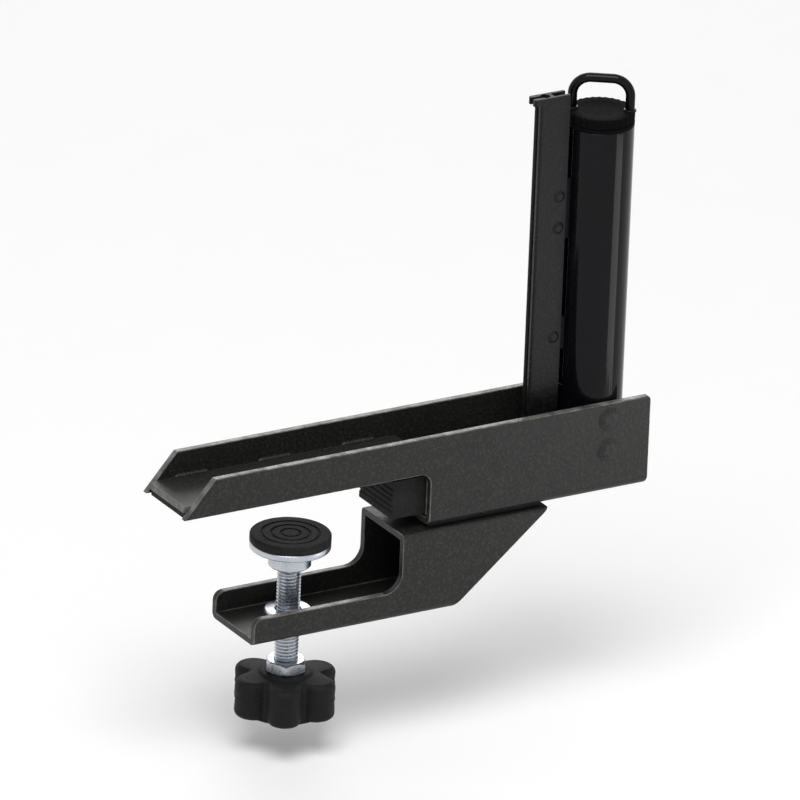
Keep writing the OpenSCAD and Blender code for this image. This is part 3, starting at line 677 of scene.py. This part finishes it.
# pressure foot: disc, rubber pad with ring grooves, and the bush that holds the disc on the screw
footLook = {
    "plate": 3.0, "rim": 0.8, "hubR": 9.0, "hubEdge": 0.6, "socketR": 6.02, "socketRoof": 1.0,
    "fillet": ((0.0, 1.2), (0.35, 0.4), (1.2, 0.0)),  # out from the hub, and down from the plate
    "padEdge": 0.9, "padFoot": 0.3, "ringPitch": 4.0, "ringR": 0.6, "ringMargin": 3.0,
    "bushBore": 3.6, "bushEdge": 0.4, "bushSink": 0.3,
}


def pressureDisc():
    low, high = boxMm("pressure_disc")
    neckLow = boxMm("retaining_bush")[0].z
    r = high.x
    rim = footLook["rim"]
    hub = footLook["hubR"]
    edge = footLook["hubEdge"]
    bore = footLook["socketR"]
    plateLow = high.z - footLook["plate"]
    socketRoof = plateLow - footLook["socketRoof"]
    rows = [(bore, neckLow), (hub - edge, low.z), (hub, low.z + edge)]
    rows += [(hub + out, plateLow - down) for out, down in footLook["fillet"]]
    rows += arcRows(r - rim, plateLow + rim, rim, -90, 0, 5)
    rows += arcRows(r - rim, high.z - rim, rim, 0, 90, 5) + [(0, high.z)]
    bm = ringSolid(bmesh.new(), rows, 72)
    ringSolid(bm, [(bore, neckLow), (bore, socketRoof), (0, socketRoof)], 72)
    dressNode("pressure_disc", "stamped", tidyMesh(bm), 28)


def pressurePad():
    low, high = boxMm("pressure_pad")
    r = high.x
    edge = footLook["padEdge"]
    foot = footLook["padFoot"]
    rows = [(0, low.z)] + arcRows(r - foot, low.z + foot, foot, -90, 0, 3)
    rows += arcRows(r - edge, high.z - edge, edge, 0, 90, 6)
    rings = int((r - footLook["ringMargin"]) / footLook["ringPitch"])
    for i in range(rings, 0, -1):
        rows += arcRows(i * footLook["ringPitch"], high.z, footLook["ringR"], 0, -180, 7)
    rows += [(0, high.z)]
    dressNode("pressure_pad", "grooved", ringSolid(bmesh.new(), rows, 96), 40)


def retainingBush():
    low, high = boxMm("retaining_bush")
    r = high.x
    bore = footLook["bushBore"]
    edge = footLook["bushEdge"]
    sink = footLook["bushSink"]
    rows = [(bore + sink, low.z), (r - edge, low.z), (r, low.z + edge),
            (r, high.z), (bore, high.z), (bore, low.z + sink)]
    dressNode("retaining_bush", "turned", ringSolid(bmesh.new(), rows, 64, closed=True), 24)


pressureDisc()
pressurePad()
retainingBush()

# the clamp screw's nut, in the bracket's floor
bushLook = {"bodyR": 7.5, "bore": 5.06, "collar": 3.0, "chamfer": 0.6}


def threadedBush():
    low, high = boxMm("threaded_bush")
    r = high.x
    body = bushLook["bodyR"]
    bore = bushLook["bore"]
    c = bushLook["chamfer"]
    seat = high.z - bushLook["collar"]
    rows = [(bore + c, low.z), (body - c, low.z), (body, low.z + c), (body, seat), (r, seat),
            (r, high.z - c), (r - c, high.z), (bore + c, high.z), (bore, high.z - c), (bore, low.z + c)]
    dressNode("threaded_bush", "turned", ringSolid(bmesh.new(), rows, 64, closed=True), 24)


threadedBush()
print("pressure foot done")

# bolts, nuts and washers under the arm
boltLook = {
    "headR": 5.5, "headH": 4.0, "headSkirt": 0.5, "headEdge": 0.3, "headGap": 0.02,
    "shankR": 3.0, "plain": 8.0, "pitch": 1.0, "threadDepth": 0.6, "chamfer": 0.6, "steps": 48,
    "nutFlats": 10.0, "nutBite": 0.3,  # how far the nut's bore reaches into the thread
}


# the two bolts' places
def boltPlaces():
    low, high = boxMm("bracket_bolts")
    reach = boltLook["headR"]
    return [Matrix.Translation((x, 0, 0)) for x in (low.x + reach, high.x - reach)]


# profile of a low dome of radius r and height h on a seat
def domeRows(r, h, seat, steps=8):
    ball = (r * r + h * h) / (2 * h)
    lowest = math.asin((ball - h) / ball)
    rows = []
    for i in range(steps):
        a = lowest + (math.pi / 2 - lowest) * i / (steps - 1)
        rows.append((ball * math.cos(a) if i < steps - 1 else 0, seat + h - ball + ball * math.sin(a)))
    return rows


def bracketBolts():
    low, high = boxMm("bracket_bolts")
    steps = boltLook["steps"]
    seat = high.z - boltLook["headH"]
    headR = boltLook["headR"]
    edge = boltLook["headEdge"]
    skirt = boltLook["headSkirt"]
    chamfer = boltLook["chamfer"]
    shank = boltLook["shankR"]
    root = shank - boltLook["threadDepth"]
    threadTop = seat - boltLook["plain"]
    rows = [(root, threadTop), (shank, threadTop + chamfer), (shank, seat), (headR - edge, seat),
            (headR, seat + edge)]
    rows += domeRows(headR - boltLook["headGap"], boltLook["headH"] - skirt, seat + skirt)
    bm = bmesh.new()
    for place in boltPlaces():
        ringSolid(bm, rows, steps, place=place)
        threadedRod(bm, low.z + chamfer, threadTop, shank, root, boltLook["pitch"], steps, place)
        ringSolid(bm, [(0, low.z), (root - 0.4, low.z), (root, low.z + chamfer)], steps, place=place)
    dressNode("bracket_bolts", "domed", tidyMesh(bm), 24)


def bracketNuts():
    low, high = boxMm("bracket_nuts")
    bore = boltLook["shankR"] - boltLook["nutBite"]
    bm = bmesh.new()
    for place in boltPlaces():
        hexNut(bm, boltLook["nutFlats"], bore, low.z, high.z, place)
    dressNode("bracket_nuts", "chamfered", bm, 20)


washerLook = {"gap": 0.02, "roll": 0.35, "burr": 0.08, "steps": 64}  # roll: as a share of the thickness


# a stamped washer: rolled on one side, with a slight burr step on the other
def washerRows(shankR, outer, low, high):
    inner = shankR + washerLook["gap"]
    edge = (high - low) * washerLook["roll"]
    burr = washerLook["burr"]
    rows = arcRows(outer - edge, high - edge, edge, 90, 0, 4)
    rows += [(outer, low + burr), (outer - burr, low), (inner + burr, low), (inner, low + burr)]
    return rows + arcRows(inner + edge, high - edge, edge, 180, 90, 4)


def bracketWashers():
    low, high = boxMm("bracket_washers")
    rows = washerRows(boltLook["shankR"], (high.y - low.y) / 2, low.z, high.z)
    bm = bmesh.new()
    for place in boltPlaces():
        ringSolid(bm, rows, washerLook["steps"], closed=True, place=place)
    dressNode("bracket_washers", "stamped", bm, 24)


bracketBolts()
bracketNuts()
bracketWashers()

# screw and washer under the post
postX = sum(corner.x for corner in boxMm("post_tube")) / 2
atPost = Matrix.Translation((postX, 0, 0))
postScrewLook = {
    "shankR": 3.0, "tip": 0.8, "headR": 5.0, "headH": 3.5, "edge": 0.5, "underEdge": 0.15,
    "socketFlats": 4.0, "socketDeep": 2.0, "socketCone": 0.6, "socketLip": (0.35, 0.25),
}


def postScrew():
    low, high = boxMm("post_screw")
    seat = low.z + postScrewLook["headH"]
    r = postScrewLook["headR"]
    edge = postScrewLook["edge"]
    under = postScrewLook["underEdge"]
    shank = postScrewLook["shankR"]
    tip = postScrewLook["tip"]
    flats = postScrewLook["socketFlats"]
    socket = flats / 2
    floorAt = low.z + postScrewLook["socketDeep"]
    cone = postScrewLook["socketCone"]
    lip, lipDeep = postScrewLook["socketLip"]

    def hexagon(angle):
        return hexagonR(flats, angle) - socket
    rows = [(0, floorAt + cone), (socket, floorAt, 1), (socket, low.z + lipDeep, 1),
            (socket + lip, low.z, 1)]
    rows += arcRows(r - edge, low.z + edge, edge, -90, 0, 4)
    rows += [(r, seat - under), (r - under, seat), (shank, seat),
             (shank, high.z - tip), (shank - tip, high.z), (0, high.z)]
    dressNode("post_screw", "socketed", ringSolid(bmesh.new(), rows, 72, hexagon, place=atPost), 24)


def postWasher():
    low, high = boxMm("post_washer")
    rows = washerRows(postScrewLook["shankR"], (high.y - low.y) / 2, low.z, high.z)
    bm = ringSolid(bmesh.new(), rows, washerLook["steps"], closed=True, place=atPost)
    dressNode("post_washer", "stamped", bm, 24)


postScrew()
postWasher()

# rivets, which lie along y
rivetLook = {
    "shankR": 3.0, "headR": 5.2, "railShankR": 1.5, "railHeadR": 2.7, "railHeadH": 0.9,
    "dimple": 0.25,  # as a share of the head's height
    "dimpleR": 2.2,  # the head is this many times as wide as its dimple
}


# a shank with a domed head at each end, its crown pressed in a little by the tool
def crossRivet(bm, x, z, halfWidth, seatY, shankR, headR):
    rise = halfWidth - seatY
    rows = [(shankR, 0), (shankR, seatY), (headR, seatY)]
    for r, height in domeRows(headR, rise, seatY, 9):
        inside = max(0, 1 - (r / headR * rivetLook["dimpleR"]) ** 2)
        rows.append((r, height - rivetLook["dimple"] * rise * inside))
    for quarter in (-turn / 4, turn / 4):
        ringSolid(bm, rows, 48, place=Matrix.Translation((x, 0, z)) @ Matrix.Rotation(quarter, 4, "X"))


def postRivets():
    low, high = boxMm("post_rivets")
    seatY = boxMm("arm_channel")[1].y
    reach = rivetLook["headR"]
    bm = bmesh.new()
    for z in (low.z + reach, high.z - reach):
        crossRivet(bm, postX, z, high.y, seatY, rivetLook["shankR"], reach)
    dressNode("post_rivets", "domed", tidyMesh(bm), 30)


# one in the guide shoe, and two in the height nut at the same distance from its ends
def railRivets():
    low, high = boxMm("rail_rivets")
    nutLow, nutHigh = boxMm("height_nut")
    x = (low.x + high.x) / 2
    seatY = high.y - rivetLook["railHeadH"]
    reach = rivetLook["railHeadR"]
    top = high.z - reach
    bm = bmesh.new()
    for z in (low.z + reach, nutLow.z + (nutHigh.z - top), top):
        crossRivet(bm, x, z, high.y, seatY, rivetLook["railShankR"], reach)
    dressNode("rail_rivets", "domed", tidyMesh(bm), 30)


postRivets()
railRivets()
print("fasteners done")

# adjusting screw: M6 thread in the post, plain journals at both ends
adjustLook = {
    "pitch": 1.0, "threadDepth": 0.6, "runOut": 0.5, "steps": 40,
    "underClip": 1.0, "grooveCut": 0.68, "topEdge": 0.4, "journalLow": 9.0, "footEdge": 0.6,
}


def adjustingScrew():
    low, high = boxMm("adjusting_screw")
    clipLow, clipHigh = boxMm("screw_clip")
    steps = adjustLook["steps"]
    runOut = adjustLook["runOut"]
    edge = adjustLook["topEdge"]
    foot = adjustLook["footEdge"]
    r = (high.y - low.y) / 2
    root = r - adjustLook["threadDepth"]
    groove = r - adjustLook["grooveCut"]
    threadTop = clipLow.z - adjustLook["underClip"]
    threadLow = low.z + adjustLook["journalLow"]
    rows = [(root, threadTop), (r, threadTop + runOut), (r, clipLow.z), (groove, clipLow.z),
            (groove, clipHigh.z), (r, clipHigh.z), (r, high.z - edge), (r - edge, high.z), (0, high.z)]
    bm = ringSolid(bmesh.new(), rows, steps, place=atPost)
    threadedRod(bm, threadLow, threadTop, r, root, adjustLook["pitch"], steps, atPost)
    rows = [(0, low.z), (r - foot, low.z), (r, low.z + foot), (r, threadLow - runOut), (root, threadLow)]
    ringSolid(bm, rows, steps, place=atPost)
    dressNode("adjusting_screw", "threaded", tidyMesh(bm), 24)


adjustingScrew()

# key: fluted cap and loop
keyLook = {
    "facing": -34.0,  # degrees that the loop is turned at rest
    "flutes": 30, "fluteDeep": 0.45, "fluteWide": 0.36, "edge": 1.0, "bore": 3.02, "skin": 1.3,
    "footEdge": (0.4, 0.1, 0.3),  # how far back the cap's foot is, below and above, and its height
    "dish": 0.5, "dishFloorR": 3.4,
    "dishRows": ((4.6, 0.0), (5.2, 0.3), (6.4, 0.8)),  # in from the edge, and share of the dish's depth
    "rodR": 2.0, "legInset": 0.3, "seat": 2.8, "bend": 7.5, "bendSteps": 20,
    "collarSink": 0.1, "collarUnder": 0.2, "collarWide": 0.7, "collarRoll": 0.45, "collarAt": 0.25,
    "collarTall": 0.75,
}
keyTurn = Matrix.Rotation(math.radians(keyLook["facing"]), 4, "Z")


def keyCap():
    low, high = boxMm("key_cap")
    r = boxMm("top_bush")[1].x - postX
    flutes = keyLook["flutes"]
    edge = keyLook["edge"]
    bore = keyLook["bore"]
    dish = keyLook["dish"]
    top = high.z
    skinLow = top - keyLook["skin"]
    place = atPost @ keyTurn

    def fluted(angle):
        offset = (angle * flutes / turn) % 1 - 0.5
        across = abs(offset) / keyLook["fluteWide"]
        return -keyLook["fluteDeep"] * math.sqrt(max(0, 1 - across * across))
    back, aboveBack, footH = keyLook["footEdge"]
    rows = [(bore, low.z), (r - back, low.z), (r - aboveBack, low.z + footH, 1)]
    rows += arcRows(r - edge, top - edge, edge, 0, 90, 6, 1)
    rows += [(r - inward, top - dish * share) for inward, share in keyLook["dishRows"]]
    rows += [(keyLook["dishFloorR"], top - dish), (0, top - dish)]
    bm = ringSolid(bmesh.new(), rows, flutes * 12, fluted, place=place)
    ringSolid(bm, [(bore, low.z), (bore, skinLow), (0, skinLow)], flutes * 12, place=place)
    dressNode("key_cap", "fluted", tidyMesh(bm), 34, finish=mattNylon)


def keyLoop():
    low, high = boxMm("key_loop")
    rod = keyLook["rodR"]
    reach = boxMm("top_bush")[1].x - postX - keyLook["legInset"] - rod
    bend = keyLook["bend"]
    topZ = high.z - rod
    archZ = topZ - bend
    capTop = low.z + keyLook["seat"]
    heights = (low.z, capTop, capTop + 0.8, (capTop + archZ) / 2, archZ - 0.6)
    half = [Vector((reach, 0, z)) for z in heights]
    for i in range(keyLook["bendSteps"] + 1):
        a = turn / 4 * i / keyLook["bendSteps"]
        half.append(Vector((reach - bend + bend * math.cos(a), 0, archZ + bend * math.sin(a))))
    half.append(Vector(((reach - bend) / 2, 0, topZ)))
    points = half + [Vector((-p.x, 0, p.z)) for p in reversed(half)]
    bm = sweptBar(bmesh.new(), points, [rod] * len(points), 24)
    inside = rod - keyLook["collarSink"]
    under = capTop - keyLook["collarUnder"]
    at = keyLook["collarAt"]
    rows = [(inside, under), (rod + keyLook["collarWide"], under)]
    rows += arcRows(rod + at, capTop + at, keyLook["collarRoll"], 0, 90, 4)
    rows += [(inside, capTop + keyLook["collarTall"])]
    for s in (-1, 1):  # pressed collar where each leg enters the cap
        ringSolid(bm, rows, 32, closed=True, place=Matrix.Translation((s * reach, 0, 0)))
    toPost = Matrix.Scale(mm, 4) @ atPost @ keyTurn @ Matrix.Scale(1 / mm, 4)
    bmesh.ops.transform(bm, matrix=toPost, verts=bm.verts)
    dressNode("key_loop", "bent", bm, 40)


keyCap()
keyLoop()
print("key done")

# weld beads under the paint, with the ripple of each step of the torch
weldLook = {
    "bead": 1.3, "ripple": 1.6, "rippleDeep": 0.10, "unsteady": 0.03, "sides": 12, "step": 0.35,
    "start": 0.45, "growth": 0.18,  # a bead's size at its ends, and its gain at each point from there
    "plateStitch": 16.0, "plateStitches": 3, "plateSink": 0.2,
    "hookShare": 0.8, "hookSink": 0.1, "hookRise": 0.3, "hookEnd": 1.0, "bushGap": 0.2, "bushPoints": 120,
}


def weldBead(bm, points, radius, closed=False):
    travelled = 0
    radii = []
    for i, p in enumerate(points):
        travelled += (p - points[i - 1]).length if i else 0
        wave = abs(math.sin(math.pi * travelled / weldLook["ripple"]))
        unsteady = random.uniform(-weldLook["unsteady"], weldLook["unsteady"])
        shape = 1 - weldLook["rippleDeep"] * wave + unsteady
        if not closed:
            fromEnd = min(i, len(points) - 1 - i)
            shape *= min(1, weldLook["start"] + fromEnd * weldLook["growth"])
        radii.append(radius * shape)
    sweptBar(bm, points, radii, weldLook["sides"], closed)


# points along a straight seam, a step apart
def lineOf(start, end):
    count = max(4, round((Vector(end) - Vector(start)).length / weldLook["step"]))
    return [Vector(start).lerp(Vector(end), i / count) for i in range(count + 1)]


def plateWelds():
    low, high = boxMm("jaw_plate")
    span = high.x - low.x
    half = weldLook["plateStitch"] / 2
    count = weldLook["plateStitches"]
    bm = bmesh.new()
    for s in (-1, 1):
        y = s * (high.y - weldLook["plateSink"])
        for i in range(count):
            middle = low.x + span * (i + 0.5) / count
            weldBead(bm, lineOf((middle - half, y, high.z), (middle + half, y, high.z)), weldLook["bead"])
    addPiece("plate_welds", bm, "frame", "charcoal_paint", 60)


def hookWelds():
    low, high = boxMm("cord_hook")
    left = low.x + weldLook["hookEnd"]
    right = high.x - weldLook["hookEnd"]
    z = low.z + weldLook["hookRise"]
    bm = bmesh.new()
    for s in (-1, 1):
        y = s * (high.y - weldLook["hookSink"])
        weldBead(bm, lineOf((left, y, z), (right, y, z)), weldLook["bead"] * weldLook["hookShare"])
    addPiece("hook_welds", bm, "frame", "charcoal_paint", 60)


def bushWeld():
    floorZ = boxMm("lower_bracket")[0].z
    r = bushLook["bodyR"] + weldLook["bushGap"]
    count = weldLook["bushPoints"]
    angles = [turn * i / count for i in range(count)]
    seam = [Vector((r * math.cos(a), r * math.sin(a), floorZ)) for a in angles]
    bm = bmesh.new()
    weldBead(bm, seam, weldLook["bead"], True)
    addPiece("bush_weld", bm, "frame", "charcoal_paint", 60)


plateWelds()
hookWelds()
bushWeld()
print("welds done")

# CAD nodes that keep their own mesh: small, and hidden inside the post and its cap
for node in ("post_foot", "screw_clip", "key_pin"):
    kept = frame["nodes"][node]
    kept.data.materials.clear()
    kept.data.materials.append(materialOf[slotOf[node]])

# floor, world and lamps
stageLook = {
    "floor": "#e9e9ea", "floorSeen": "#ffffff", "roughness": 0.9, "specular": 0.1,
    "lift": (0.05, 0.50), "liftReach": (0.7, 5.0),  # paler over these metres, where the lamps fall off
    "drop": 16.5,  # under the knob at its lowest
    "size": 60.0,  # metres
    "fibre": 30.0,  # real fibres are 2 mm, drawn as slow clouds
    "airLit": 0.40, "airSeen": 0.94,
}


# 1 for what the camera sees, straight, by a shine or through glass, and 0 for light on the piece
def seenByEye(tree):
    camera = addNode(tree, "LightPath", out="Is Camera Ray")
    glossy = addNode(tree, "LightPath", out="Is Glossy Ray")
    clear = addNode(tree, "LightPath", out="Is Transmission Ray")
    either = addNode(tree, "Math", {0: camera, 1: glossy}, operation="MAXIMUM")
    return addNode(tree, "Math", {0: either, 1: clear}, operation="MAXIMUM")


# matt studio paper: pale and even, clear from below so that it never hides the piece
def studioPaper(tree, here, look):
    fibre = addNode(tree, "TexNoise", {"Vector": here, "Scale": 1 / (look["fibre"] * mm), "Detail": 3.0})
    shade = addNode(tree, "MapRange", {"Value": fibre, "To Min": 0.985, "To Max": 1.0})
    seen = seenByEye(tree)
    tone = addNode(tree, "Mix", {0: seen, 6: hexColour(look["floor"]), 7: hexColour(look["floorSeen"])}, 2,
                   data_type="RGBA")
    colour = addNode(tree, "VectorMath", {0: tone, 3: shade}, operation="SCALE")
    away = addNode(tree, "VectorMath", {0: here}, "Value", operation="LENGTH")
    near, far = look["liftReach"]
    low, high = look["lift"]
    rise = addNode(tree, "MapRange", {"Value": away, "From Min": near, "From Max": far,
                                      "To Min": low, "To Max": high}, interpolation_type="SMOOTHSTEP")
    lift = addNode(tree, "Math", {0: seen, 1: rise}, operation="MULTIPLY")
    paper = addNode(tree, "BsdfPrincipled", {"Base Color": colour, "Roughness": look["roughness"],
                                             "Specular IOR Level": look["specular"],
                                             "Emission Color": hexColour("#ffffff"),
                                             "Emission Strength": lift})
    below = addNode(tree, "NewGeometry", out="Backfacing")
    through = addNode(tree, "BsdfTransparent")
    return addNode(tree, "MixShader", {0: below, 1: paper, 2: through})


def addFloor():
    half = stageLook["size"] / 2
    height = cadBox[0].z - stageLook["drop"] * mm
    corners = [(-half, -half), (half, -half), (half, half), (-half, half)]
    bm = bmesh.new()
    bm.faces.new([bm.verts.new((x, y, height)) for x, y in corners])
    mesh = bpy.data.meshes.new("floor")
    bm.to_mesh(mesh)
    bm.free()
    mesh.materials.append(newMaterial("studioPaper", studioPaper, stageLook))
    floor = bpy.data.objects.new("floor", mesh)
    scene.collection.objects.link(floor)


def addAir():
    world = bpy.data.worlds.new("studioAir")
    scene.world = world
    world.use_nodes = True
    tree = world.node_tree
    tree.nodes.clear()
    level = addNode(tree, "MapRange", {"Value": seenByEye(tree), "To Min": stageLook["airLit"],
                                       "To Max": stageLook["airSeen"]})
    air = addNode(tree, "Background", {"Color": hexColour("#ffffff"), "Strength": level})
    addNode(tree, "OutputWorld", {"Surface": air})


lampLook = {  # place in metres, width and height in metres, power in watts
    "topSoftbox": ((-0.75, -1.05, 2.5), 1.7, 1.7, 52),
    "backPanel": ((1.45, 2.2, 1.25), 1.9, 0.9, 17),
    "lowStrip": ((0.35, -0.256, -0.055), 0.155, 0.12, 0.17),
}


def addLamps(middle):
    for name, (place, width, height, power) in lampLook.items():
        data = bpy.data.lights.new(name, "AREA")
        data.shape = "RECTANGLE"
        data.size = width
        data.size_y = height
        data.energy = power
        lamp = bpy.data.objects.new(name, data)
        lamp.location = place
        lamp.rotation_euler = (middle - Vector(place)).to_track_quat("-Z", "Y").to_euler()
        lamp.visible_camera = False
        scene.collection.objects.link(lamp)


# camera: a long lens nearly 7 m off, leaning by a few degrees; its place is in metres
cameraLook = {"place": (-3.177, -5.355, 2.655), "lens": 740.0, "lean": 2.3}


def addCamera(middle):
    data = bpy.data.cameras.new("longLens")
    data.lens = cameraLook["lens"]
    data.clip_end = 100.0
    camera = bpy.data.objects.new("longLens", data)
    camera.location = cameraLook["place"]
    aim = (middle - camera.location).to_track_quat("-Z", "Y")
    lean = Matrix.Rotation(math.radians(cameraLook["lean"]), 3, "Z").to_quaternion()
    camera.rotation_mode = "QUATERNION"
    camera.rotation_quaternion = aim @ lean
    scene.collection.objects.link(camera)
    scene.camera = camera


middle = (cadBox[0] + cadBox[1]) / 2
addFloor()
addAir()
addLamps(middle)
addCamera(middle)
scene.view_settings.view_transform = "Standard"
print("stage done")
